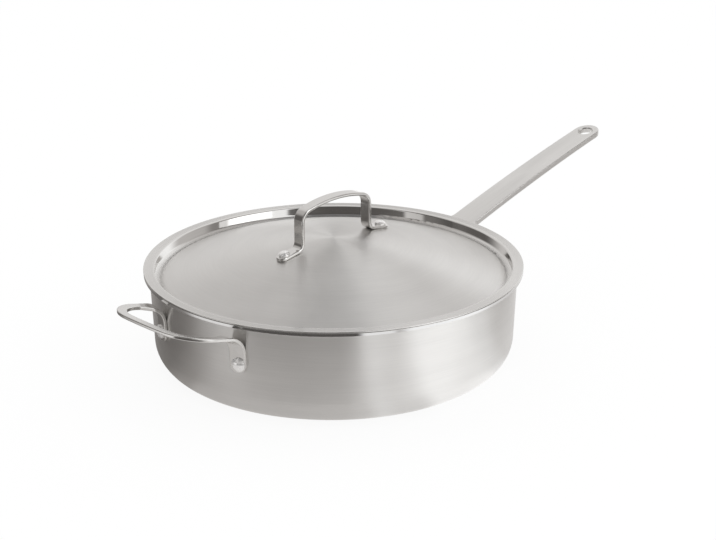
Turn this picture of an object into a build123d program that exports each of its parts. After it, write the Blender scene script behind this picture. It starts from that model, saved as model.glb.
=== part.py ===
from build123d import *
import os
from math import asin, cos, degrees, radians, sin, sqrt, tan

# Saute pan with a lift-off lid. Millimetres and degrees.
# The origin is the middle of the flat base, on the hob. +X runs to the long handle, +Z is up.

# Pan wall, from the outside in: a magnetic steel skin, an aluminium core, a stainless skin
WALL_RADIUS = 142.0
WALL_LEAN = 2.1
PAN_HEIGHT = 76.2
BASE_CORNER = 21.2
OUTER_SKIN = 0.5
CORE = 1.5
INNER_SKIN = 0.5
LIP_BEND = 2.0
LIP_OVERHANG = 4.3
LIP_EDGE_ROUND = 0.3

# Lid, pressed from one sheet: flange, step, groove, shoulder and dome
LID_GAP = 0.3
LID_PLAY = 1.5
LID_SHEET = 0.9
FLANGE_OVERHANG = 0.2
STEP_BEND = 1.4
GROOVE_DEPTH = 9.5
GROOVE_BEND = 3.0
GROOVE_SIDE = 34.0
GROOVE_SIDE_RUN = 0.75
SHOULDER_BEND = 12.0
DOME_RADIUS = 300.0
FLANGE_EDGE_ROUND = 0.35
# The round cap of the dome, before it runs on as a cone, against the step
DOME_CAP_SHARE = 0.652

# Lid handle, a bent strap with two feet
STRAP_WIDTH = 10.0
STRAP_SHEET = 2.8
STRAP_SEAT = 0.1
STRAP_RISE = 34.2
STRAP_LEG_REACH = 37.0
STRAP_CROWN = 113.0
STRAP_SHOULDER = 11.0
STRAP_FOOT_BEND = 4.5
STRAP_FOOT = 21.0
STRAP_EDGE_ROUND = 1.1

# Long handle, a tapered bar whose root is turned down against the wall
BAR_SHEET = 5.0
BAR_NECK_WIDTH = 25.0
BAR_END_WIDTH = 22.7
BAR_LENGTH = 174.0
BAR_ROOT_RISE = 17.3
BAR_END_RISE = 12.6
BAR_BEND = 12.0
BAR_RIM_DROP = 12.3
BAR_TAB_HEIGHT = 33.9
BAR_TAB_WIDTH = 36.0
BAR_TAB_CORNER = 12.0
BAR_FLARE_START = 4.5
BAR_FLARE_RUN = 6.0
BAR_FLARE_ROUND = 8.0
BAR_FLARE_TIP_ROUND = 3.0
BAR_EDGE_ROUND = 1.0
HANG_HOLE = 12.0
HANG_HOLE_INSET = 1.0
HANG_HOLE_CHAMFER = 0.8

# Helper handle, a looped strip with two tabs turned down against the wall
LOOP_SHEET = 2.7
LOOP_DEPTH = 43.1
LOOP_WIDTH = 96.8
LOOP_STRIP_WIDTH = 7.4
LOOP_TAB_WIDTH = 12.0
LOOP_TAPER_ROUND = 6.0
LOOP_RISE = 15.0
LOOP_BEND = 16.0
LOOP_RIM_DROP = 21.8
LOOP_TAB_HEIGHT = 15.6
LOOP_EDGE_ROUND = 0.7
# Outer corners, and both ends of the taper from tab to strip, against the loop's depth
LOOP_CORNER_SHARE = 0.61
LOOP_TAPER_START_SHARE = 0.1
LOOP_TAPER_END_SHARE = 0.33
# Lower corners of each tab against its width
LOOP_TAB_CORNER_SHARE = 0.4

# Rivets: a domed head outside, a shank through the sheets and a low tail inside
WALL_RIVET_HEAD = 10.6
WALL_RIVET_DOME = 3.0
WALL_RIVET_SHANK = 5.0
WALL_RIVET_TAIL = 10.4
WALL_RIVET_TAIL_DOME = 1.5
BAR_RIVET_UPPER_DROP = 10.9
BAR_RIVET_LOWER_DROP = 24.4
BAR_RIVET_INSET = 7.2
LOOP_RIVET_DROP = 8.8
LOOP_RIVET_INSET = 5.4
LID_RIVET_HEAD = 8.7
LID_RIVET_DOME = 2.8
LID_RIVET_SHANK = 4.0
LID_RIVET_TAIL = 8.0
LID_RIVET_TAIL_DOME = 1.2
LID_RIVET_INSET = 7.0
RIVET_SINK = 0.4

# A rivet's edge rises straight for this share of its height before it domes over
RIM_SHARE = 0.3

# How far a cutting shape runs past what it cuts
OVERRUN = 10.0

WALL_SHEET = OUTER_SKIN + CORE + INNER_SKIN
LEAN = radians(WALL_LEAN)
LIP_RADIUS = WALL_RADIUS + LIP_OVERHANG
LIP_START = PAN_HEIGHT - WALL_SHEET - LIP_BEND
LID_TOP = PAN_HEIGHT + LID_GAP + LID_SHEET
FLANGE_RADIUS = LIP_RADIUS + FLANGE_OVERHANG
STEP_RADIUS = WALL_RADIUS - WALL_SHEET - LID_PLAY
STRAP_FOOT_REACH = STRAP_LEG_REACH + STRAP_FOOT
LID_RIVET_RADIUS = STRAP_FOOT_REACH - LID_RIVET_INSET
BAR_TAB_TOP = PAN_HEIGHT - BAR_RIM_DROP
BAR_TAB_FOOT = BAR_TAB_TOP - BAR_TAB_HEIGHT
BAR_END_RADIUS = WALL_RADIUS + BAR_LENGTH
HANG_HOLE_RADIUS = BAR_END_RADIUS - HANG_HOLE_INSET
LOOP_TAB_TOP = PAN_HEIGHT - LOOP_RIM_DROP
LOOP_TAB_FOOT = LOOP_TAB_TOP - LOOP_TAB_HEIGHT
LOOP_REACH = WALL_RADIUS + LOOP_DEPTH

# The dome's height follows from the runs that lead up to it from the groove
SIDE_SLOPE = radians(GROOVE_SIDE)
DOME_CAP_SLOPE = asin(STEP_RADIUS * DOME_CAP_SHARE / DOME_RADIUS)
CONE_RUN = (
    STEP_RADIUS * (1 - DOME_CAP_SHARE)
    - GROOVE_BEND * (1 + sin(SIDE_SLOPE))
    - GROOVE_SIDE_RUN * cos(SIDE_SLOPE)
    - SHOULDER_BEND * (sin(SIDE_SLOPE) - sin(DOME_CAP_SLOPE))
) / cos(DOME_CAP_SLOPE)
DOME_TOP = (
    LID_TOP
    - GROOVE_DEPTH
    + GROOVE_BEND * (1 - cos(SIDE_SLOPE))
    + GROOVE_SIDE_RUN * sin(SIDE_SLOPE)
    + SHOULDER_BEND * (cos(DOME_CAP_SLOPE) - cos(SIDE_SLOPE))
    + CONE_RUN * sin(DOME_CAP_SLOPE)
    + DOME_RADIUS * (1 - cos(DOME_CAP_SLOPE))
)
DOME_MIDDLE = DOME_TOP - DOME_RADIUS


def toward(angle):
    """Unit vector at an angle from the local X axis."""
    return Vector(cos(radians(angle)), sin(radians(angle)))


def bent_sheet(start, heading, sheet, steps):
    """Draw the closed section of a bent sheet.

    The start, runs and radii are those of one face. The other face lies a sheet to its right,
    or to its left where the sheet is negative. Each step is a run, a bend radius and a turn.
    """
    ends = []
    for across in (0, sheet):
        angle = heading
        point = Vector(*start) + toward(angle - 90) * across
        ends.append(point)
        for run, radius, turn in steps:
            if run > 0:
                point = Line(point, point + toward(angle) * run) @ 1
            if turn:
                reach = radius + across if turn > 0 else radius - across
                point = JernArc(point, toward(angle), reach, turn) @ 1
                angle += turn
        ends.append(point)
    Line(ends[0], ends[2])
    Line(ends[1], ends[3])


def wall_radius(height, outward=0.0):
    """Radius of the leaning wall at a height, a depth outward from its outer surface."""
    below = LIP_START + LIP_BEND * sin(LEAN) - height
    return WALL_RADIUS - below * tan(LEAN) + outward / cos(LEAN)


def wall_section(outside, inside):
    """Draw the pan's half section between two depths below its outer surface."""
    corner_middle = (wall_radius(BASE_CORNER, -BASE_CORNER), BASE_CORNER)
    lip_middle = (WALL_RADIUS + LIP_BEND * cos(LEAN), LIP_START)
    ends = []
    for depth in (outside, inside):
        corner = CenterArc(corner_middle, BASE_CORNER - depth, -90, 90 - WALL_LEAN)
        lip = CenterArc(lip_middle, LIP_BEND + depth, 180 - WALL_LEAN, WALL_LEAN - 90)
        floor = Line((0, depth), corner @ 0)
        Line(corner @ 1, lip @ 0)
        rim = Line(lip @ 1, (LIP_RADIUS, LIP_START + LIP_BEND + depth))
        ends += [floor @ 0, rim @ 1]
    Line(ends[0], ends[2])
    Line(ends[1], ends[3])


def upright(bearing):
    """Plane standing through the Z axis at a bearing, its X outward and its Y up."""
    out = toward(bearing)
    return Plane(origin=(0, 0, 0), x_dir=out, z_dir=(out.Y, -out.X, 0))


def bearing_of(aside, height):
    """Bearing of a point on the wall at a height that lies so far aside of the X axis."""
    return degrees(asin(aside / wall_radius(height)))


def wall_plane(bearing, height):
    """Plane on the outside of the wall at a bearing and height, facing out."""
    out = toward(bearing)
    middle = out * wall_radius(height) + Vector(0, 0, height)
    return Plane(
        origin=middle,
        x_dir=(-out.Y, out.X, 0),
        z_dir=out * cos(LEAN) - Vector(0, 0, sin(LEAN)),
    )


def dome_plane(side):
    """Plane on the dome under one foot of the lid handle, facing up."""
    slope = asin(LID_RIVET_RADIUS / DOME_RADIUS)
    normal = Vector(side * sin(slope), 0, cos(slope))
    middle = normal * DOME_RADIUS + Vector(0, 0, DOME_MIDDLE)
    return Plane(origin=middle, x_dir=(0, 1, 0), z_dir=normal)


def axial(plane):
    """Plane through the axis of a rivet, its Y along the axis."""
    return Plane(origin=plane.origin, x_dir=plane.x_dir, z_dir=-plane.y_dir)


def facing_back(plane):
    """The same plane, facing the other way."""
    return Plane(origin=plane.origin, x_dir=plane.x_dir, z_dir=-plane.z_dir)


def dome_section(width, height):
    """Draw the half section of a domed rivet end, sunk a little below its seat."""
    rim = height * RIM_SHARE
    crown = ((width / 2) ** 2 + (height - rim) ** 2) / (2 * (height - rim))
    dome = JernArc((0, height), (1, 0), crown, -degrees(asin(width / 2 / crown)))
    Polyline(dome @ 1, (width / 2, -RIVET_SINK), (0, -RIVET_SINK), (0, height))


def clamped_band(handle_sheet):
    """Draw the section of the pan's wall with a handle's tab on it, past every rivet."""
    low, high = LOOP_TAB_FOOT - OVERRUN, BAR_TAB_TOP
    Polyline(
        (wall_radius(low, -WALL_SHEET), low),
        (wall_radius(low, handle_sheet), low),
        (wall_radius(high, handle_sheet), high),
        (wall_radius(high, -WALL_SHEET), high),
        (wall_radius(low, -WALL_SHEET), low),
    )


bar_upper = BAR_TAB_TOP - BAR_RIVET_UPPER_DROP
bar_upper_bearing = bearing_of(BAR_TAB_WIDTH / 2 - BAR_RIVET_INSET, bar_upper)
bar_seats = [
    wall_plane(bar_upper_bearing, bar_upper),
    wall_plane(-bar_upper_bearing, bar_upper),
    wall_plane(0, BAR_TAB_TOP - BAR_RIVET_LOWER_DROP),
]
loop_rivet_height = LOOP_TAB_TOP - LOOP_RIVET_DROP
loop_bearing = bearing_of(LOOP_WIDTH / 2 - LOOP_RIVET_INSET, loop_rivet_height)
loop_seats = [wall_plane(180 + side * loop_bearing, loop_rivet_height) for side in (1, -1)]
wall_seats = bar_seats + loop_seats
lid_seats = [dome_plane(side) for side in (1, -1)]


# Pan: three bonded layers, each a whole bowl pierced for the rivets
with BuildPart() as pan_outer_skin:
    with BuildSketch(Plane.XZ):
        with BuildLine():
            wall_section(0, OUTER_SKIN)
        make_face()
    revolve(axis=Axis.Z)
    widest = pan_outer_skin.edges().filter_by(GeomType.CIRCLE).sort_by(SortBy.RADIUS)[-2:]
    fillet(widest.sort_by(Axis.Z)[0], LIP_EDGE_ROUND)
    with Locations(*wall_seats):
        Cylinder(WALL_RIVET_SHANK / 2, 2 * OVERRUN, mode=Mode.SUBTRACT)

with BuildPart() as pan_core:
    with BuildSketch(Plane.XZ):
        with BuildLine():
            wall_section(OUTER_SKIN, OUTER_SKIN + CORE)
        make_face()
    revolve(axis=Axis.Z)
    with Locations(*wall_seats):
        Cylinder(WALL_RIVET_SHANK / 2, 2 * OVERRUN, mode=Mode.SUBTRACT)

with BuildPart() as pan_inner_skin:
    with BuildSketch(Plane.XZ):
        with BuildLine():
            wall_section(OUTER_SKIN + CORE, WALL_SHEET)
        make_face()
    revolve(axis=Axis.Z)
    widest = pan_inner_skin.edges().filter_by(GeomType.CIRCLE).sort_by(SortBy.RADIUS)[-2:]
    fillet(widest.sort_by(Axis.Z)[-1], LIP_EDGE_ROUND)
    with Locations(*wall_seats):
        Cylinder(WALL_RIVET_SHANK / 2, 2 * OVERRUN, mode=Mode.SUBTRACT)


# Lid: the upper face runs from the flange down the step, through the groove and up to the dome
with BuildPart() as lid:
    with BuildSketch(Plane.XZ):
        with BuildLine():
            bent_sheet(
                (FLANGE_RADIUS, LID_TOP),
                180,
                -LID_SHEET,
                [
                    (FLANGE_RADIUS - STEP_RADIUS - STEP_BEND, STEP_BEND, 90),
                    (GROOVE_DEPTH - STEP_BEND - GROOVE_BEND, GROOVE_BEND, -90 - GROOVE_SIDE),
                    (GROOVE_SIDE_RUN, SHOULDER_BEND, GROOVE_SIDE - degrees(DOME_CAP_SLOPE)),
                    (CONE_RUN, DOME_RADIUS, degrees(DOME_CAP_SLOPE)),
                ],
            )
        make_face()
    revolve(axis=Axis.Z)
    rounds = lid.edges().filter_by(GeomType.CIRCLE)
    fillet(rounds.filter_by(lambda edge: abs(edge.radius - FLANGE_RADIUS) < LID_GAP), FLANGE_EDGE_ROUND)
    with Locations(*lid_seats):
        Cylinder(LID_RIVET_SHANK / 2, 2 * OVERRUN, mode=Mode.SUBTRACT)


# Lid handle: the strap's outer face runs up from one foot, over the crown and down to the other
foot_slope = asin(LID_RIVET_RADIUS / DOME_RADIUS)
foot_top = dome_plane(1).origin + dome_plane(1).z_dir * (STRAP_SHEET - STRAP_SEAT)
foot_start = (
    STRAP_FOOT_REACH + OVERRUN,
    foot_top.Z - (STRAP_FOOT_REACH + OVERRUN - foot_top.X) * tan(foot_slope),
)
foot_turn = 90 - degrees(foot_slope)
foot_bend_run = STRAP_FOOT_BEND * tan(radians(foot_turn) / 2)
foot_run = (foot_start[0] - STRAP_LEG_REACH) / cos(foot_slope) - foot_bend_run
leg_foot = foot_top.Z + (foot_top.X - STRAP_LEG_REACH) * tan(foot_slope) + foot_bend_run
shoulder_across = STRAP_LEG_REACH - STRAP_SHOULDER
crown_middle = DOME_TOP + STRAP_RISE - STRAP_CROWN
leg_top = crown_middle + sqrt((STRAP_CROWN - STRAP_SHOULDER) ** 2 - shoulder_across**2)
crown_half = degrees(asin(shoulder_across / (STRAP_CROWN - STRAP_SHOULDER)))

with BuildPart() as lid_handle:
    with BuildSketch(Plane.XZ):
        with BuildLine():
            bent_sheet(
                foot_start,
                180 - degrees(foot_slope),
                -STRAP_SHEET,
                [
                    (foot_run, STRAP_FOOT_BEND, -foot_turn),
                    (leg_top - leg_foot, STRAP_SHOULDER, 90 - crown_half),
                    (0, STRAP_CROWN, 2 * crown_half),
                    (0, STRAP_SHOULDER, 90 - crown_half),
                    (leg_top - leg_foot, STRAP_FOOT_BEND, -foot_turn),
                    (foot_run, 0, 0),
                ],
            )
        make_face()
    extrude(amount=STRAP_WIDTH / 2, both=True)
    with BuildSketch(Plane.XY.offset(crown_middle)):
        SlotOverall(2 * STRAP_FOOT_REACH, STRAP_WIDTH)
    extrude(amount=2 * STRAP_CROWN, mode=Mode.INTERSECT)
    along = edges().filter_by(Axis.Y, reverse=True)
    fillet(along.filter_by(lambda edge: edge.length > STRAP_SHEET), STRAP_EDGE_ROUND)
    with Locations((0, 0, DOME_MIDDLE)):
        Sphere(DOME_RADIUS, mode=Mode.SUBTRACT)
    with Locations(*lid_seats):
        Cylinder(LID_RIVET_SHANK / 2, 2 * OVERRUN, mode=Mode.SUBTRACT)

with BuildPart() as lid_rivets:
    for seat in lid_seats:
        with BuildSketch(axial(facing_back(seat.offset(-LID_SHEET)))):
            with BuildLine():
                dome_section(LID_RIVET_TAIL, LID_RIVET_TAIL_DOME)
            make_face()
        revolve(axis=Axis(seat.origin, seat.z_dir))
    with Locations((0, 0, DOME_MIDDLE)):
        Sphere(DOME_RADIUS - LID_SHEET, mode=Mode.INTERSECT)
    for seat in lid_seats:
        with BuildSketch(axial(seat.offset(STRAP_SHEET - STRAP_SEAT + RIVET_SINK))):
            with BuildLine():
                dome_section(LID_RIVET_HEAD, LID_RIVET_DOME)
            make_face()
        revolve(axis=Axis(seat.origin, seat.z_dir))
    with Locations(*[seat.offset(-LID_SHEET - LID_RIVET_TAIL_DOME / 2) for seat in lid_seats]):
        Cylinder(
            LID_RIVET_SHANK / 2,
            LID_SHEET + STRAP_SHEET + LID_RIVET_TAIL_DOME / 2 + LID_RIVET_DOME / 2,
            align=(Align.CENTER, Align.CENTER, Align.MIN),
        )


# Long handle: a revolved section, so that the tab follows the wall, cut to the bar's plan
bar_neck = WALL_RADIUS + BAR_FLARE_START + BAR_FLARE_RUN
bar_sector = bearing_of(BAR_TAB_WIDTH / 2 + OVERRUN, BAR_TAB_FOOT)
bar_back = wall_radius(BAR_TAB_FOOT) * cos(radians(bar_sector))
bar_turn = 90 - WALL_LEAN - BAR_ROOT_RISE
bar_root = wall_radius(BAR_TAB_TOP, BAR_BEND) - BAR_BEND * sin(radians(BAR_ROOT_RISE))
bar_root_height = BAR_TAB_TOP + BAR_BEND * (cos(radians(BAR_ROOT_RISE)) - sin(LEAN))
bar_bow = (BAR_END_RADIUS + BAR_END_WIDTH - bar_root) / (
    sin(radians(BAR_ROOT_RISE)) - sin(radians(BAR_END_RISE))
)
hole_rise = asin(sin(radians(BAR_ROOT_RISE)) - (HANG_HOLE_RADIUS - bar_root) / bar_bow)
hole_height = bar_root_height + bar_bow * (cos(hole_rise) - cos(radians(BAR_ROOT_RISE)))
hole_seat = Plane(
    origin=(HANG_HOLE_RADIUS, 0, hole_height),
    x_dir=(cos(hole_rise), 0, sin(hole_rise)),
    z_dir=(-sin(hole_rise), 0, cos(hole_rise)),
)

with BuildPart() as long_handle:
    with BuildSketch(upright(-bar_sector)):
        with BuildLine():
            bent_sheet(
                (wall_radius(BAR_TAB_FOOT), BAR_TAB_FOOT),
                90 - WALL_LEAN,
                BAR_SHEET,
                [
                    ((BAR_TAB_TOP - BAR_TAB_FOOT) / cos(LEAN), BAR_BEND, -bar_turn),
                    (0, bar_bow, BAR_END_RISE - BAR_ROOT_RISE),
                ],
            )
        make_face()
    revolve(axis=Axis.Z, revolution_arc=2 * bar_sector)
    with BuildSketch(Plane.XY):
        with BuildLine():
            half_tab = BAR_TAB_WIDTH / 2
            half_neck = BAR_NECK_WIDTH / 2
            half_end = BAR_END_WIDTH / 2
            sides = Polyline(
                (BAR_END_RADIUS, -half_end),
                (bar_neck, -half_neck),
                (bar_neck - BAR_FLARE_RUN, -half_tab),
                (bar_back, -half_tab),
                (bar_back, half_tab),
                (bar_neck - BAR_FLARE_RUN, half_tab),
                (bar_neck, half_neck),
                (BAR_END_RADIUS, half_end),
            )
            ThreePointArc(sides @ 0, (BAR_END_RADIUS + half_end, 0), sides @ 1)
        make_face()
        fillet(vertices().group_by(Axis.X)[1], BAR_FLARE_TIP_ROUND)
        fillet(vertices().group_by(Axis.X)[3], BAR_FLARE_ROUND)
    extrude(amount=BAR_END_RADIUS, mode=Mode.INTERSECT)
    across = edges().filter_by(lambda edge: abs(edge.length - BAR_SHEET) < BAR_EDGE_ROUND)
    fillet(across.sort_by(Axis.Z)[:2], BAR_TAB_CORNER)
    along = edges().filter_by(lambda edge: edge.length > BAR_SHEET + BAR_EDGE_ROUND)
    fillet(along.filter_by(lambda edge: edge.center().X > bar_neck), BAR_EDGE_ROUND)
    with Locations(*bar_seats):
        Cylinder(WALL_RIVET_SHANK / 2, 2 * OVERRUN, mode=Mode.SUBTRACT)
    with Locations(hole_seat):
        Cylinder(HANG_HOLE / 2, 2 * OVERRUN, mode=Mode.SUBTRACT)
    hole = edges().filter_by(GeomType.BSPLINE).filter_by(
        lambda edge: abs(edge.center().X - HANG_HOLE_RADIUS) < HANG_HOLE / 2
    )
    chamfer(hole, HANG_HOLE_CHAMFER)


# Helper handle: a revolved section cut to the plan of the loop
loop_half = LOOP_WIDTH / 2
loop_corner = LOOP_DEPTH * LOOP_CORNER_SHARE
loop_inner = LOOP_REACH - LOOP_STRIP_WIDTH
inner_corner = loop_corner - LOOP_STRIP_WIDTH
arm_inner = loop_half - LOOP_STRIP_WIDTH
tab_inner = loop_half - LOOP_TAB_WIDTH
tab_corner = LOOP_TAB_WIDTH * LOOP_TAB_CORNER_SHARE
loop_foot = LOOP_TAB_FOOT - LOOP_SHEET * sin(LEAN)
taper_start = WALL_RADIUS + LOOP_DEPTH * LOOP_TAPER_START_SHARE
taper_end = WALL_RADIUS + LOOP_DEPTH * LOOP_TAPER_END_SHARE
taper_rounds = (LOOP_TAPER_ROUND, LOOP_TAPER_ROUND)
loop_sector = bearing_of(loop_half + OVERRUN, LOOP_TAB_FOOT)
loop_back = -wall_radius(LOOP_TAB_FOOT) * cos(radians(loop_sector))

with BuildPart() as helper_handle:
    with BuildSketch(upright(180 - loop_sector)):
        with BuildLine():
            bent_sheet(
                (wall_radius(LOOP_TAB_FOOT), LOOP_TAB_FOOT),
                90 - WALL_LEAN,
                LOOP_SHEET,
                [
                    ((LOOP_TAB_TOP - LOOP_TAB_FOOT) / cos(LEAN), LOOP_BEND, WALL_LEAN + LOOP_RISE - 90),
                    (LOOP_DEPTH, 0, 0),
                ],
            )
        make_face()
    revolve(axis=Axis.Z, revolution_arc=2 * loop_sector)
    with BuildSketch(Plane.XY):
        with BuildLine():
            FilletPolyline(
                (loop_back, -loop_half),
                (-LOOP_REACH, -loop_half),
                (-LOOP_REACH, loop_half),
                (loop_back, loop_half),
                radius=loop_corner,
            )
            Line((loop_back, loop_half), (loop_back, -loop_half))
        make_face()
        with BuildLine():
            inside = FilletPolyline(
                (loop_back, -tab_inner),
                (-taper_start, -tab_inner),
                (-taper_end, -arm_inner),
                (-loop_inner, -arm_inner),
                (-loop_inner, arm_inner),
                (-taper_end, arm_inner),
                (-taper_start, tab_inner),
                (loop_back, tab_inner),
                radius=(*taper_rounds, inner_corner, inner_corner, *taper_rounds),
            )
            Line(inside @ 0, inside @ 1)
        make_face(mode=Mode.SUBTRACT)
    extrude(amount=LOOP_REACH, mode=Mode.INTERSECT)
    with BuildSketch(Plane.YZ):
        with Locations(*[(side * (tab_inner + loop_half) / 2, loop_foot) for side in (1, -1)]):
            Rectangle(LOOP_TAB_WIDTH, LOOP_TAB_HEIGHT, align=(Align.CENTER, Align.MIN))
        fillet(vertices().group_by(Axis.Y)[0], tab_corner)
        with Locations((0, loop_foot + tab_corner)):
            Rectangle(LOOP_WIDTH + 2 * OVERRUN, LOOP_REACH, align=(Align.CENTER, Align.MIN))
    extrude(amount=-2 * LOOP_REACH, mode=Mode.INTERSECT)
    along = edges().filter_by(lambda edge: edge.length > LOOP_SHEET + LOOP_EDGE_ROUND)
    fillet(along.filter_by(lambda edge: edge.center().X < -taper_end), LOOP_EDGE_ROUND)
    with Locations(*loop_seats):
        Cylinder(WALL_RIVET_SHANK / 2, 2 * OVERRUN, mode=Mode.SUBTRACT)


def wall_rivets(seats, handle_sheet):
    """Rivets through a handle's tab and the wall: ends trimmed to the sheets, joined by shanks."""
    with BuildPart() as rivets:
        for seat in seats:
            for end, width, height in (
                (seat.offset(handle_sheet), WALL_RIVET_HEAD, WALL_RIVET_DOME),
                (facing_back(seat.offset(-WALL_SHEET)), WALL_RIVET_TAIL, WALL_RIVET_TAIL_DOME),
            ):
                with BuildSketch(axial(end)):
                    with BuildLine():
                        dome_section(width, height)
                    make_face()
                revolve(axis=Axis(end.origin, end.z_dir))
        with BuildSketch(Plane.XZ):
            with BuildLine():
                clamped_band(handle_sheet)
            make_face()
        revolve(axis=Axis.Z, mode=Mode.SUBTRACT)
        with Locations(*[seat.offset(-WALL_SHEET - WALL_RIVET_TAIL_DOME / 2) for seat in seats]):
            Cylinder(
                WALL_RIVET_SHANK / 2,
                WALL_SHEET + handle_sheet + WALL_RIVET_TAIL_DOME / 2 + WALL_RIVET_DOME / 2,
                align=(Align.CENTER, Align.CENTER, Align.MIN),
            )
    return rivets


long_handle_rivets = wall_rivets(bar_seats, BAR_SHEET)
helper_rivets = wall_rivets(loop_seats, LOOP_SHEET)


os.makedirs("parts", exist_ok=True)

pan_outer_skin.part.label = "pan_outer_skin"
export_step(pan_outer_skin.part, "parts/pan_outer_skin.step")
pan_core.part.label = "pan_core"
export_step(pan_core.part, "parts/pan_core.step")
pan_inner_skin.part.label = "pan_inner_skin"
export_step(pan_inner_skin.part, "parts/pan_inner_skin.step")
long_handle.part.label = "long_handle"
export_step(long_handle.part, "parts/long_handle.step")
long_handle_rivets.part.label = "long_handle_rivets"
export_step(long_handle_rivets.part, "parts/long_handle_rivets.step")
helper_handle.part.label = "helper_handle"
export_step(helper_handle.part, "parts/helper_handle.step")
helper_rivets.part.label = "helper_rivets"
export_step(helper_rivets.part, "parts/helper_rivets.step")
lid.part.label = "lid"
export_step(lid.part, "parts/lid.step")
lid_handle.part.label = "lid_handle"
export_step(lid_handle.part, "parts/lid_handle.step")
lid_rivets.part.label = "lid_rivets"
export_step(lid_rivets.part, "parts/lid_rivets.step")
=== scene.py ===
import math

import bpy
from bpy.props import FloatProperty, FloatVectorProperty, PointerProperty
from mathutils import Matrix, Vector

bl_info = {
    "name": "Saute Pan Finishes",
    "version": (1, 0, 0),
    "blender": (4, 5, 0),
    "location": "3D View > Sidebar > Saute Pan",
    "description": "Gives a lidded steel saute pan its brushed and polished finishes, its stage and its camera",
    "category": "Object",
}

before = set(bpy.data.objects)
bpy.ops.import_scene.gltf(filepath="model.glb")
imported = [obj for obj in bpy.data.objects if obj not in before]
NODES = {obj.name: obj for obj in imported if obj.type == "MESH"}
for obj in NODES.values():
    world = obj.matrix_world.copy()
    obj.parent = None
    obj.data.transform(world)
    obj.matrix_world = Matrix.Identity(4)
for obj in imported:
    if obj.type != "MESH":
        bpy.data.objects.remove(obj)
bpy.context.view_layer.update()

# Studio tones that the steel mirrors, on the near and the far floor and in two belts of sky. Each
# row is a bearing in degrees and the brightness there.
NEAR_FLOOR_TONES = (
    (0, 0.80),
    (45, 0.80),
    (100, 0.30),
    (128, 0.16),
    (146, 0.20),
    (166, 0.38),
    (175, 0.56),
    (190, 0.60),
    (208, 0.62),
    (228, 0.66),
    (235, 0.74),
    (242, 0.92),
    (248, 0.84),
    (255, 0.84),
    (264, 1.18),
    (288, 1.22),
    (300, 1.00),
    (312, 0.78),
    (335, 0.72),
    (360, 0.80),
)
FAR_FLOOR_TONES = (
    (0, 0.88),
    (45, 1.10),
    (100, 0.30),
    (128, 0.16),
    (146, 0.30),
    (158, 0.85),
    (176, 0.85),
    (182, 0.09),
    (236, 0.09),
    (240, 0.95),
    (252, 0.92),
    (255, 0.60),
    (262, 1.05),
    (300, 1.08),
    (316, 0.90),
    (322, 0.50),
    (345, 0.50),
    (360, 0.80),
)
LOW_SKY_TONES = (
    (0, 1.08),
    (14, 1.04),
    (30, 0.82),
    (60, 0.74),
    (85, 0.62),
    (108, 0.12),
    (138, 0.12),
    (158, 0.34),
    (178, 0.40),
    (195, 0.32),
    (228, 0.34),
    (240, 0.70),
    (262, 0.84),
    (278, 1.10),
    (303, 1.12),
    (305, 0.28),
    (316, 0.30),
    (324, 0.52),
    (346, 0.56),
    (360, 1.08),
)
HIGH_SKY_TONES = (
    (0, 0.60),
    (14, 0.80),
    (30, 0.90),
    (60, 0.76),
    (80, 0.74),
    (108, 0.50),
    (126, 0.50),
    (138, 0.06),
    (158, 0.06),
    (160, 0.76),
    (172, 0.76),
    (174, 0.09),
    (258, 0.09),
    (261, 1.06),
    (302, 1.06),
    (305, 0.16),
    (322, 0.18),
    (328, 0.42),
    (345, 0.48),
    (360, 0.60),
)
OVERHEAD_TONE = 0.20
FULL_TURN = 360.0

# How much red, green and blue the darkest studio tones lack
STUDIO_WARMTH = (0.0, 0.07, 0.12)

# The near floor gives way to the far one between these two distances from the pan's middle
FAR_FLOOR = (0.296, 0.310)
FLOOR_SIDES = 96

# Rises above the horizon between which the low sky gives way to the high one, and that to overhead
SKY_CHANGE = (math.radians(18), math.radians(40))
OVERHEAD_CHANGE = (math.radians(66), math.radians(82))

# Inner and outer radius of each polished ring: the pan's lip, the lid's step and the lid's edge
PAST_THE_EDGE = 0.2
LIP_RING = (0.1425, PAST_THE_EDGE)
STEP_RING = (0.1366, 0.1400)
EDGE_RING = (0.1454, PAST_THE_EDGE)

# How far brushed lines change the shade of the steel, and they and smudges its roughness
SHADE_CHANGE = 0.10
LINE_ROUGHNESS = 0.05
SMUDGE_ROUGHNESS = 0.06
GRAIN_DETAIL = 3.0

# Brushed lines along the narrow pieces, and how far they smear a reflection
BAR_LINES = {"Pitch": 0.0006, "Length": 0.05, "Slope": 0.26}
LOOP_LINES = {"Pitch": 0.0008, "Length": 0.02, "Slope": 0.0}
STRAP_LINES = {"Pitch": 0.0008, "Length": 0.03, "Slope": 0.0}
BAR_SMEAR = 0.4
LOOP_SMEAR = 0.2
CUT_EDGE_SMEAR = 0.30

# Line pitch of these pieces, as shares of the wall's
INSIDE_PITCH_SHARE = 1.4
CUT_EDGE_PITCH_SHARE = 0.7
RIVET_PITCH_SHARE = 0.6

# Sockets of a mix node by the kind of value: first, second, result
MIX_SOCKETS = {"FLOAT": (2, 3, 0), "VECTOR": (4, 5, 1), "RGBA": (6, 7, 2)}
SENSOR_WIDTH = 36.0


# Sizes and colours


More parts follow.
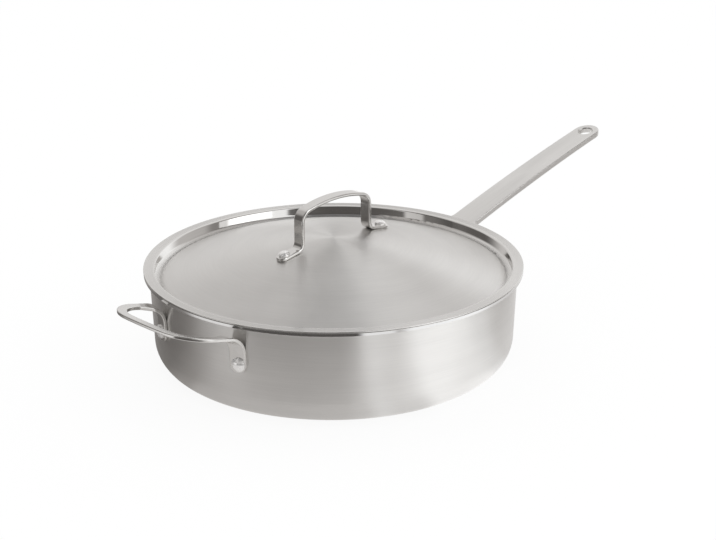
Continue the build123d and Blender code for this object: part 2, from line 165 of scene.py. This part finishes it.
class PanFinish(bpy.types.PropertyGroup):
    """Colours, roughness and brushed lines of the pan's metals"""

    steel: FloatVectorProperty(
        name="Steel", description="Colour of bare stainless steel", subtype="COLOR",
        default=(0.78, 0.77, 0.755), min=0, max=1,
    )
    aluminium: FloatVectorProperty(
        name="Aluminium", description="Colour of the core's cut edge", subtype="COLOR",
        default=(0.80, 0.80, 0.80), min=0, max=1,
    )
    satin: FloatProperty(
        name="Satin roughness", description="Roughness of the brushed faces",
        default=0.31, min=0, max=1,
    )
    smear: FloatProperty(
        name="Smear", description="How far brushed lines smear a reflection across them",
        default=0.95, min=0, max=1,
    )
    polish: FloatProperty(
        name="Polish roughness", description="Roughness of the polished faces",
        default=0.07, min=0, max=1,
    )
    loop_satin: FloatProperty(
        name="Loop roughness", description="Roughness of the helper handle", default=0.13, min=0, max=1,
    )
    step_lean: FloatProperty(
        name="Step lean", description="How far the face of the lid's step looks up", subtype="ANGLE",
        default=math.radians(28), min=0,
    )
    # Rivet colour: the steel lightened past the pan's own steel, a painted highlight that makes the rivets read
    # bright
    rivet_steel_and_highlight: FloatVectorProperty(
        name="Rivet steel and highlight", description="Colour of the rivets", subtype="COLOR",
        default=(0.92, 0.91, 0.90), min=0, max=1,
    )
    rivet_satin: FloatProperty(
        name="Rivet roughness", description="Roughness of the rivets", default=0.16, min=0, max=1,
    )
    rivet_metal: FloatProperty(
        name="Rivet metal", description="How far the rivets mirror rather than scatter light",
        default=0.7, min=0, max=1,
    )
    line_pitch: FloatProperty(
        name="Line pitch", description="Distance between the brushed lines", default=0.0007,
        subtype="DISTANCE", unit="LENGTH", min=0.0001,
    )
    line_depth: FloatProperty(
        name="Line depth", description="Depth of the brushed lines", default=0.000004,
        subtype="DISTANCE", unit="LENGTH", min=0,
    )


class StageSizes(bpy.types.PropertyGroup):
    """Camera, floor and lamp"""

    camera_place: FloatVectorProperty(
        name="Camera place", description="Where the camera stands", subtype="XYZ", unit="LENGTH",
        default=(-0.8112, -0.8378, 0.4973),
    )
    camera_bearing: FloatProperty(
        name="Camera bearing", description="Turn of the view round the pan", subtype="ANGLE",
        default=math.radians(-45),
    )
    camera_rise: FloatProperty(
        name="Camera rise", description="Angle at which the camera looks down", subtype="ANGLE",
        default=math.radians(20.15),
    )
    camera_roll: FloatProperty(
        name="Camera roll", description="Tilt of the picture", subtype="ANGLE",
        default=math.radians(-0.19),
    )
    lens: FloatProperty(name="Lens", description="Focal length in millimetres", default=80.45, min=10)
    floor_radius: FloatProperty(
        name="Floor radius", description="Half width of the floor", default=12.0,
        subtype="DISTANCE", unit="LENGTH", min=1,
    )
    floor_drop: FloatProperty(
        name="Floor drop", description="How far the floor lies under the base", default=0.0002,
        subtype="DISTANCE", unit="LENGTH", min=0,
    )
    floor_colour: FloatVectorProperty(
        name="Floor", description="Colour of the floor and the backdrop", subtype="COLOR",
        default=(1.0, 1.0, 1.0), min=0, max=1,
    )
    shadow_share: FloatProperty(
        name="Shadow share", description="How much of the floor's look is real light and shadow",
        default=0.10, min=0, max=1,
    )
    lamp_place: FloatVectorProperty(
        name="Lamp place", description="Where the soft lamp hangs", subtype="XYZ", unit="LENGTH",
        default=(0.55, -1.15, 0.75),
    )
    lamp_target: FloatVectorProperty(
        name="Lamp target", description="Point that the soft lamp faces", subtype="XYZ", unit="LENGTH",
        default=(0.0, 0.0, 0.05),
    )
    lamp_side: FloatProperty(
        name="Lamp side", description="Side of the square soft lamp", default=0.9,
        subtype="DISTANCE", unit="LENGTH", min=0.01,
    )
    lamp_power: FloatProperty(
        name="Lamp power", description="Power of the soft lamp", default=1.5, unit="POWER", min=0,
    )


# Node tools


def put(tree, value, slot):
    """Link an output to an input, or set the input to a plain value."""
    if isinstance(value, bpy.types.NodeSocket):
        tree.links.new(value, slot)
    else:
        slot.default_value = value


def add(tree, kind, inputs=None, **settings):
    """Add a node, set its settings, and set or link its inputs."""
    made = tree.nodes.new(kind)
    for name, value in settings.items():
        setattr(made, name, value)
    for name, value in (inputs or {}).items():
        put(tree, value, made.inputs[name])
    return made


def sum_of(tree, operation, *values, clamp=False):
    """Output of a math node."""
    made = tree.nodes.new("ShaderNodeMath")
    made.operation = operation
    made.use_clamp = clamp
    for slot, value in zip(made.inputs, values):
        put(tree, value, slot)
    return made.outputs[0]


def mix(tree, kind, factor, first, second, blend="MIX"):
    """Value, vector or colour between two, or a colour blended over the first."""
    made = add(tree, "ShaderNodeMix", {0: factor}, data_type=kind, blend_type=blend)
    first_slot, second_slot, result = MIX_SOCKETS[kind]
    put(tree, first, made.inputs[first_slot])
    put(tree, second, made.inputs[second_slot])
    return made.outputs[result]


def studio_ramp(tree, turn, tones):
    """Colour ramp through bearings and their studio tones, warmer where darker; its colour."""
    made = add(tree, "ShaderNodeValToRGB", {"Fac": turn})
    band = made.color_ramp
    band.interpolation = "EASE"
    while len(band.elements) > 1:
        band.elements.remove(band.elements[-1])
    for count, (bearing, tone) in enumerate(tones):
        place = bearing / FULL_TURN
        element = band.elements[0] if count == 0 else band.elements.new(place)
        element.position = place
        dark = max(0.0, 1.0 - tone)
        element.color = (*(tone * (1.0 - lack * dark) for lack in STUDIO_WARMTH), 1)
    return made.outputs["Color"]


def smooth_step(tree, value, ends):
    """Smooth step of a value between two ends."""
    made = add(
        tree, "ShaderNodeMapRange", {"Value": value, "From Min": ends[0], "From Max": ends[1]},
        interpolation_type="SMOOTHSTEP",
    )
    return made.outputs["Result"]


def group(name, inputs, outputs):
    """A new shader group, its sockets made from (name, default) and names; tree, entry, exit."""
    tree = bpy.data.node_groups.new(name, "ShaderNodeTree")
    for label, default in inputs:
        socket = tree.interface.new_socket(label, in_out="INPUT", socket_type="NodeSocketFloat")
        socket.default_value = default
    for label in outputs:
        tree.interface.new_socket(label, in_out="OUTPUT", socket_type="NodeSocketFloat")
    return tree, tree.nodes.new("NodeGroupInput"), tree.nodes.new("NodeGroupOutput")


def bearing_share(tree, vector):
    """Bearing of a vector round the Z axis, as a share of a full turn."""
    parts = add(tree, "ShaderNodeSeparateXYZ", {"Vector": vector})
    angle = sum_of(tree, "ARCTAN2", parts.outputs["Y"], parts.outputs["X"])
    return sum_of(tree, "FRACT", sum_of(tree, "ADD", sum_of(tree, "DIVIDE", angle, math.tau), 1.0))


def round_place(tree):
    """Place with its height taken out, the height, and the distance from the Z axis."""
    place = add(tree, "ShaderNodeTexCoord").outputs["Object"]
    parts = add(tree, "ShaderNodeSeparateXYZ", {"Vector": place}).outputs
    flat = add(tree, "ShaderNodeCombineXYZ", {"X": parts["X"], "Y": parts["Y"]}).outputs[0]
    radius = add(tree, "ShaderNodeVectorMath", {0: flat}, operation="LENGTH").outputs["Value"]
    return flat, parts["Z"], radius


def grain(tree, x, y, z):
    """Fine noise at a place given by its three parts."""
    where = add(tree, "ShaderNodeCombineXYZ", {"X": x, "Y": y, "Z": z}).outputs[0]
    noise = add(tree, "ShaderNodeTexNoise", {"Vector": where, "Scale": 1.0, "Detail": GRAIN_DETAIL})
    return noise.outputs["Fac"]


# Shared effects


def make_round_brush():
    """Lines brushed in circles round the Z axis, with a few broader and fainter streaks."""
    tree, entry, leave = group(
        "Round Brush", (("Pitch", 0.0007), ("Streak", 0.012)), ("Lines", "Streaks"),
    )
    flat, height, radius = round_place(tree)
    out = add(tree, "ShaderNodeVectorMath", {0: flat}, operation="NORMALIZE").outputs[0]
    along = sum_of(tree, "ADD", radius, height)
    for label, pitch, turns in (("Lines", "Pitch", 3.0), ("Streaks", "Streak", 1.2)):
        steps = sum_of(tree, "DIVIDE", along, entry.outputs[pitch])
        turn = add(tree, "ShaderNodeVectorMath", {0: out, "Scale": turns}, operation="SCALE")
        turned = add(tree, "ShaderNodeSeparateXYZ", {"Vector": turn.outputs[0]}).outputs
        tree.links.new(grain(tree, turned["X"], turned["Y"], steps), leave.inputs[label])
    return tree


def make_long_brush():
    """Lines brushed along a bar that runs out along X and climbs at a slope."""
    tree, entry, leave = group(
        "Long Brush", (("Pitch", 0.0006), ("Length", 0.05), ("Slope", 0.26)), ("Lines", "Streaks"),
    )
    place = add(tree, "ShaderNodeTexCoord").outputs["Object"]
    level = add(
        tree, "ShaderNodeVectorRotate", {"Vector": place, "Angle": entry.outputs["Slope"]},
        rotation_type="Y_AXIS",
    )
    parts = add(tree, "ShaderNodeSeparateXYZ", {"Vector": level.outputs[0]}).outputs
    along = sum_of(tree, "DIVIDE", parts["X"], entry.outputs["Length"])
    for label, widen in (("Lines", 1.0), ("Streaks", 7.0)):
        across = sum_of(tree, "MULTIPLY", entry.outputs["Pitch"], widen)
        y, z = (sum_of(tree, "DIVIDE", parts[axis], across) for axis in ("Y", "Z"))
        tree.links.new(grain(tree, along, y, z), leave.inputs[label])
    return tree


def make_ring():
    """Mask of a ring round the Z axis, between two radii, with soft borders."""
    tree, entry, leave = group("Ring", (("Inner", 0.1), ("Outer", 0.2), ("Border", 0.001)), ("Mask",))
    radius = round_place(tree)[2]
    past = sum_of(tree, "SUBTRACT", radius, entry.outputs["Inner"])
    short = sum_of(tree, "SUBTRACT", entry.outputs["Outer"], radius)
    nearest = sum_of(tree, "MINIMUM", past, short)
    mask = sum_of(tree, "DIVIDE", nearest, entry.outputs["Border"], clamp=True)
    tree.links.new(mask, leave.inputs["Mask"])
    return tree


def make_handling():
    """Faint wiped smudges."""
    tree, entry, leave = group("Handling", (("Smudge Size", 0.03),), ("Smudge",))
    place = add(tree, "ShaderNodeTexCoord").outputs["Object"]
    wide = add(
        tree, "ShaderNodeTexNoise",
        {
            "Vector": place,
            "Scale": sum_of(tree, "DIVIDE", 1.0, entry.outputs["Smudge Size"]),
            "Detail": 4.0,
            "Distortion": 0.6,
        },
    )
    tree.links.new(wide.outputs["Fac"], leave.inputs["Smudge"])
    return tree


def shared(name):
    """The shared effect of that name, built once."""
    makers = {
        "Round Brush": make_round_brush,
        "Long Brush": make_long_brush,
        "Ring": make_ring,
        "Handling": make_handling,
    }
    return bpy.data.node_groups.get(name) or makers[name]()


# Materials


def ring_mask(tree, inner, outer):
    """Mask of the ring between two radii."""
    ring = add(tree, "ShaderNodeGroup", node_tree=shared("Ring"))
    ring.inputs["Inner"].default_value = inner
    ring.inputs["Outer"].default_value = outer
    return ring.outputs["Mask"]


def look_up(tree, normal, lean):
    """Normal of an upright face that leans back by an angle."""
    place = add(tree, "ShaderNodeTexCoord").outputs["Object"]
    level = add(tree, "ShaderNodeSeparateXYZ", {"Vector": place}).outputs["Z"]
    height = sum_of(tree, "MULTIPLY", level, -math.tan(lean))
    tipped = add(
        tree, "ShaderNodeBump",
        {"Height": height, "Distance": 1.0, "Strength": 1.0, "Normal": normal},
    )
    return tipped.outputs["Normal"]


def steel_material(
    name, brush, inputs, roughness, spread, colour, depth,
    metal=1.0, turned=False, polished=(), leaning=None,
):
    """Steel with brushed lines, faint smudges and its own roughness.

    The spread is how far brushing smears a reflection across its lines, which run round the Z axis
    on a turned piece. The polished rings, and the one ring whose upright face looks up a little,
    each lie round that axis between two radii.
    """
    finish = bpy.context.scene.pan_finish
    made = bpy.data.materials.new(name)
    made.use_nodes = True
    tree = made.node_tree
    tree.nodes.clear()
    lines = add(tree, "ShaderNodeGroup", node_tree=shared(brush))
    for label, value in inputs.items():
        lines.inputs[label].default_value = value
    wiped = add(tree, "ShaderNodeGroup", node_tree=shared("Handling"))
    tone, fine = (
        sum_of(tree, "MULTIPLY_ADD", lines.outputs[label], SHADE_CHANGE, 1 - SHADE_CHANGE / 2)
        for label in ("Streaks", "Lines")
    )
    shade = sum_of(tree, "MULTIPLY", tone, fine)
    tint = mix(tree, "RGBA", 1.0, (*colour, 1), shade, "MULTIPLY")
    least = roughness - SMUDGE_ROUGHNESS / 2
    rough = sum_of(tree, "MULTIPLY_ADD", wiped.outputs["Smudge"], SMUDGE_ROUGHNESS, least)
    rough = sum_of(tree, "MULTIPLY_ADD", lines.outputs["Lines"], LINE_ROUGHNESS, rough)
    for ring in polished:
        rough = mix(tree, "FLOAT", ring_mask(tree, *ring), rough, finish.polish)
    bump = add(
        tree, "ShaderNodeBump",
        {"Height": lines.outputs["Lines"], "Distance": depth, "Strength": 1.0},
    )
    normal = bump.outputs["Normal"]
    if leaning:
        tipped = look_up(tree, normal, finish.step_lean)
        normal = mix(tree, "VECTOR", ring_mask(tree, *leaning), normal, tipped)
    surface = add(
        tree, "ShaderNodeBsdfPrincipled",
        {
            "Base Color": tint,
            "Metallic": metal,
            "Roughness": rough,
            "Normal": normal,
            "Anisotropic": spread,
            "Anisotropic Rotation": 0.25,
        },
    )
    if turned:
        along = add(tree, "ShaderNodeTangent", direction_type="RADIAL", axis="Z")
        tree.links.new(along.outputs[0], surface.inputs["Tangent"])
    leave = add(tree, "ShaderNodeOutputMaterial")
    tree.links.new(surface.outputs[0], leave.inputs["Surface"])
    return made


def dress(node, material):
    """Give a node of the frame its material."""
    mesh = NODES[node].data
    mesh.materials.clear()
    mesh.materials.append(material)


def scaled_lines(finish, pitch_share=1.0):
    """Inputs of the round brush, its pitch a share of the wall's."""
    return {"Pitch": finish.line_pitch * pitch_share}


class PAN_OT_body(bpy.types.Operator):
    """Brush the pan's two skins in circles and leave the core's cut edge satin"""

    bl_idname = "pan.body"
    bl_label = "Pan Body"

    def execute(self, context):
        finish = context.scene.pan_finish
        steel = tuple(finish.steel)
        outside = steel_material(
            "Brushed wall", "Round Brush", scaled_lines(finish), finish.satin, finish.smear, steel,
            finish.line_depth, turned=True, polished=(LIP_RING,),
        )
        inside = steel_material(
            "Brushed inside", "Round Brush", scaled_lines(finish, INSIDE_PITCH_SHARE),
            finish.satin, finish.smear, steel, finish.line_depth, turned=True, polished=(LIP_RING,),
        )
        edge = steel_material(
            "Cut aluminium", "Round Brush", scaled_lines(finish, CUT_EDGE_PITCH_SHARE),
            finish.satin, CUT_EDGE_SMEAR, tuple(finish.aluminium), finish.line_depth,
            turned=True, polished=(LIP_RING,),
        )
        dress("pan_outer_skin", outside)
        dress("pan_inner_skin", inside)
        dress("pan_core", edge)
        return {"FINISHED"}


class PAN_OT_handles(bpy.types.Operator):
    """Brush the long handle along its length and give the helper handle a satin polish"""

    bl_idname = "pan.handles"
    bl_label = "Handles"

    def execute(self, context):
        finish = context.scene.pan_finish
        steel = tuple(finish.steel)
        bar = steel_material(
            "Brushed bar", "Long Brush", BAR_LINES, finish.satin, BAR_SMEAR, steel, finish.line_depth,
        )
        loop = steel_material(
            "Satin loop", "Long Brush", LOOP_LINES, finish.loop_satin, LOOP_SMEAR, steel,
            finish.line_depth,
        )
        dress("long_handle", bar)
        dress("helper_handle", loop)
        return {"FINISHED"}


class PAN_OT_lid(bpy.types.Operator):
    """Brush the lid in circles and polish its strap handle"""

    bl_idname = "pan.lid"
    bl_label = "Lid"

    def execute(self, context):
        finish = context.scene.pan_finish
        steel = tuple(finish.steel)
        cover = steel_material(
            "Brushed lid", "Round Brush", scaled_lines(finish), finish.satin, finish.smear, steel,
            finish.line_depth, turned=True, polished=(STEP_RING, EDGE_RING), leaning=STEP_RING,
        )
        strap = steel_material(
            "Polished strap", "Long Brush", STRAP_LINES, finish.polish, 0.0, steel, finish.line_depth,
        )
        dress("lid", cover)
        dress("lid_handle", strap)
        return {"FINISHED"}


class PAN_OT_rivets(bpy.types.Operator):
    """Give every rivet a satin polish and a steel colour lighter than the pan's, a painted highlight"""

    bl_idname = "pan.rivets"
    bl_label = "Rivets"

    def execute(self, context):
        finish = context.scene.pan_finish
        # The rivets' lighter steel colour is a painted highlight, not a different metal
        head = steel_material(
            "Satin rivet", "Round Brush", scaled_lines(finish, RIVET_PITCH_SHARE),
            finish.rivet_satin, 0.0, tuple(finish.rivet_steel_and_highlight), finish.line_depth, finish.rivet_metal,
        )
        for node in ("long_handle_rivets", "helper_rivets", "lid_rivets"):
            dress(node, head)
        return {"FINISHED"}


# Stage


def make_floor(sizes):
    """A round white floor that keeps a soft share of the pan's shadow."""
    mesh = bpy.data.meshes.new("floor")
    turns = [math.tau * step / FLOOR_SIDES for step in range(FLOOR_SIDES)]
    ring = [
        (sizes.floor_radius * math.cos(turn), sizes.floor_radius * math.sin(turn), -sizes.floor_drop)
        for turn in turns
    ]
    mesh.from_pydata(ring, [], [tuple(range(FLOOR_SIDES))])
    floor = bpy.data.objects.new("floor", mesh)
    bpy.context.scene.collection.objects.link(floor)
    made = bpy.data.materials.new("Pale floor")
    made.use_nodes = True
    tree = made.node_tree
    tree.nodes.clear()
    light = add(tree, "ShaderNodeLightPath")
    lit = add(tree, "ShaderNodeBsdfDiffuse", {"Color": (*sizes.floor_colour, 1)})
    white = add(tree, "ShaderNodeEmission", {"Color": (*sizes.floor_colour, 1), "Strength": 1.0})
    seen = add(tree, "ShaderNodeMixShader", {"Fac": sizes.shadow_share})
    tree.links.new(white.outputs[0], seen.inputs[1])
    tree.links.new(lit.outputs[0], seen.inputs[2])
    place = add(tree, "ShaderNodeTexCoord").outputs["Object"]
    turn = bearing_share(tree, place)
    distance = add(tree, "ShaderNodeVectorMath", {0: place}, operation="LENGTH").outputs["Value"]
    near = studio_ramp(tree, turn, NEAR_FLOOR_TONES)
    far = studio_ramp(tree, turn, FAR_FLOOR_TONES)
    tones = mix(tree, "RGBA", smooth_step(tree, distance, FAR_FLOOR), near, far)
    studio = add(tree, "ShaderNodeEmission", {"Color": tones, "Strength": 1.0})
    mirrored = add(tree, "ShaderNodeMixShader", {"Fac": light.outputs["Is Glossy Ray"]})
    tree.links.new(lit.outputs[0], mirrored.inputs[1])
    tree.links.new(studio.outputs[0], mirrored.inputs[2])
    both = add(tree, "ShaderNodeMixShader", {"Fac": light.outputs["Is Camera Ray"]})
    tree.links.new(mirrored.outputs[0], both.inputs[1])
    tree.links.new(seen.outputs[0], both.inputs[2])
    leave = add(tree, "ShaderNodeOutputMaterial")
    tree.links.new(both.outputs[0], leave.inputs["Surface"])
    mesh.materials.append(made)


def make_world():
    """A white backdrop for the camera and the floor, and studio tones for the steel to mirror."""
    world = bpy.data.worlds.new("studio")
    world.use_nodes = True
    tree = world.node_tree
    tree.nodes.clear()
    light = add(tree, "ShaderNodeLightPath")
    way = add(tree, "ShaderNodeTexCoord").outputs["Generated"]
    turn = bearing_share(tree, way)
    low = studio_ramp(tree, turn, LOW_SKY_TONES)
    high = studio_ramp(tree, turn, HIGH_SKY_TONES)
    height = add(tree, "ShaderNodeSeparateXYZ", {"Vector": way}).outputs["Z"]
    rise = sum_of(tree, "ARCSINE", height)
    belts = mix(tree, "RGBA", smooth_step(tree, rise, SKY_CHANGE), low, high)
    overhead = (OVERHEAD_TONE, OVERHEAD_TONE, OVERHEAD_TONE, 1)
    tones = mix(tree, "RGBA", smooth_step(tree, rise, OVERHEAD_CHANGE), belts, overhead)
    both = mix(tree, "RGBA", light.outputs["Is Glossy Ray"], (1, 1, 1, 1), tones)
    sky = add(tree, "ShaderNodeBackground", {"Color": both, "Strength": 1.0})
    leave = add(tree, "ShaderNodeOutputWorld")
    tree.links.new(sky.outputs[0], leave.inputs["Surface"])
    bpy.context.scene.world = world


def make_lamp(sizes):
    """A soft square lamp that faces a point."""
    lamp = bpy.data.lights.new("key lamp", "AREA")
    lamp.shape = "SQUARE"
    lamp.size = sizes.lamp_side
    lamp.energy = sizes.lamp_power
    held = bpy.data.objects.new("key lamp", lamp)
    held.location = sizes.lamp_place
    facing = Vector(sizes.lamp_target) - Vector(sizes.lamp_place)
    held.rotation_euler = facing.to_track_quat("-Z", "Y").to_euler()
    bpy.context.scene.collection.objects.link(held)


def make_camera(sizes):
    """The camera at its place, turned, tipped and rolled as the sizes say."""
    data = bpy.data.cameras.new("camera")
    data.lens = sizes.lens
    data.sensor_width = SENSOR_WIDTH
    camera = bpy.data.objects.new("camera", data)
    bearing, rise, roll = sizes.camera_bearing, sizes.camera_rise, sizes.camera_roll
    back = Vector((
        math.sin(bearing) * math.cos(rise),
        -math.cos(bearing) * math.cos(rise),
        math.sin(rise),
    ))
    level = Vector((math.cos(bearing), math.sin(bearing), 0))
    upward = back.cross(level)
    right = level * math.cos(roll) + upward * math.sin(roll)
    up = upward * math.cos(roll) - level * math.sin(roll)
    turned = Matrix((right, up, back)).transposed().to_4x4()
    camera.matrix_world = Matrix.Translation(sizes.camera_place) @ turned
    bpy.context.scene.collection.objects.link(camera)
    bpy.context.scene.camera = camera


class PAN_OT_stage(bpy.types.Operator):
    """Set the pale floor, the white backdrop, the soft lamp and the camera"""

    bl_idname = "pan.stage"
    bl_label = "Stage"

    def execute(self, context):
        sizes = context.scene.pan_stage
        make_floor(sizes)
        make_world()
        make_lamp(sizes)
        make_camera(sizes)
        context.scene.view_settings.view_transform = "Standard"
        return {"FINISHED"}


STEPS = (PAN_OT_body, PAN_OT_handles, PAN_OT_lid, PAN_OT_rivets, PAN_OT_stage)


class PAN_PT_panel(bpy.types.Panel):
    """Sizes, colours and steps of the saute pan"""

    bl_label = "Saute Pan"
    bl_idname = "PAN_PT_panel"
    bl_space_type = "VIEW_3D"
    bl_region_type = "UI"
    bl_category = "Saute Pan"

    def draw(self, context):
        for settings in (context.scene.pan_finish, context.scene.pan_stage):
            for name in settings.__annotations__:
                self.layout.prop(settings, name)
        for step in STEPS:
            self.layout.operator(step.bl_idname)


CLASSES = (PanFinish, StageSizes, *STEPS, PAN_PT_panel)


def register():
    """Register the classes and hang the settings on the scene."""
    for made in CLASSES:
        bpy.utils.register_class(made)
    bpy.types.Scene.pan_finish = PointerProperty(type=PanFinish)
    bpy.types.Scene.pan_stage = PointerProperty(type=StageSizes)


def unregister():
    """Take the settings and the classes away again."""
    del bpy.types.Scene.pan_stage
    del bpy.types.Scene.pan_finish
    for made in reversed(CLASSES):
        bpy.utils.unregister_class(made)


def main():
    """Run every step in order."""
    register()
    bpy.ops.pan.body()
    bpy.ops.pan.handles()
    bpy.ops.pan.lid()
    bpy.ops.pan.rivets()
    bpy.ops.pan.stage()


if __name__ == "__main__":
    main()
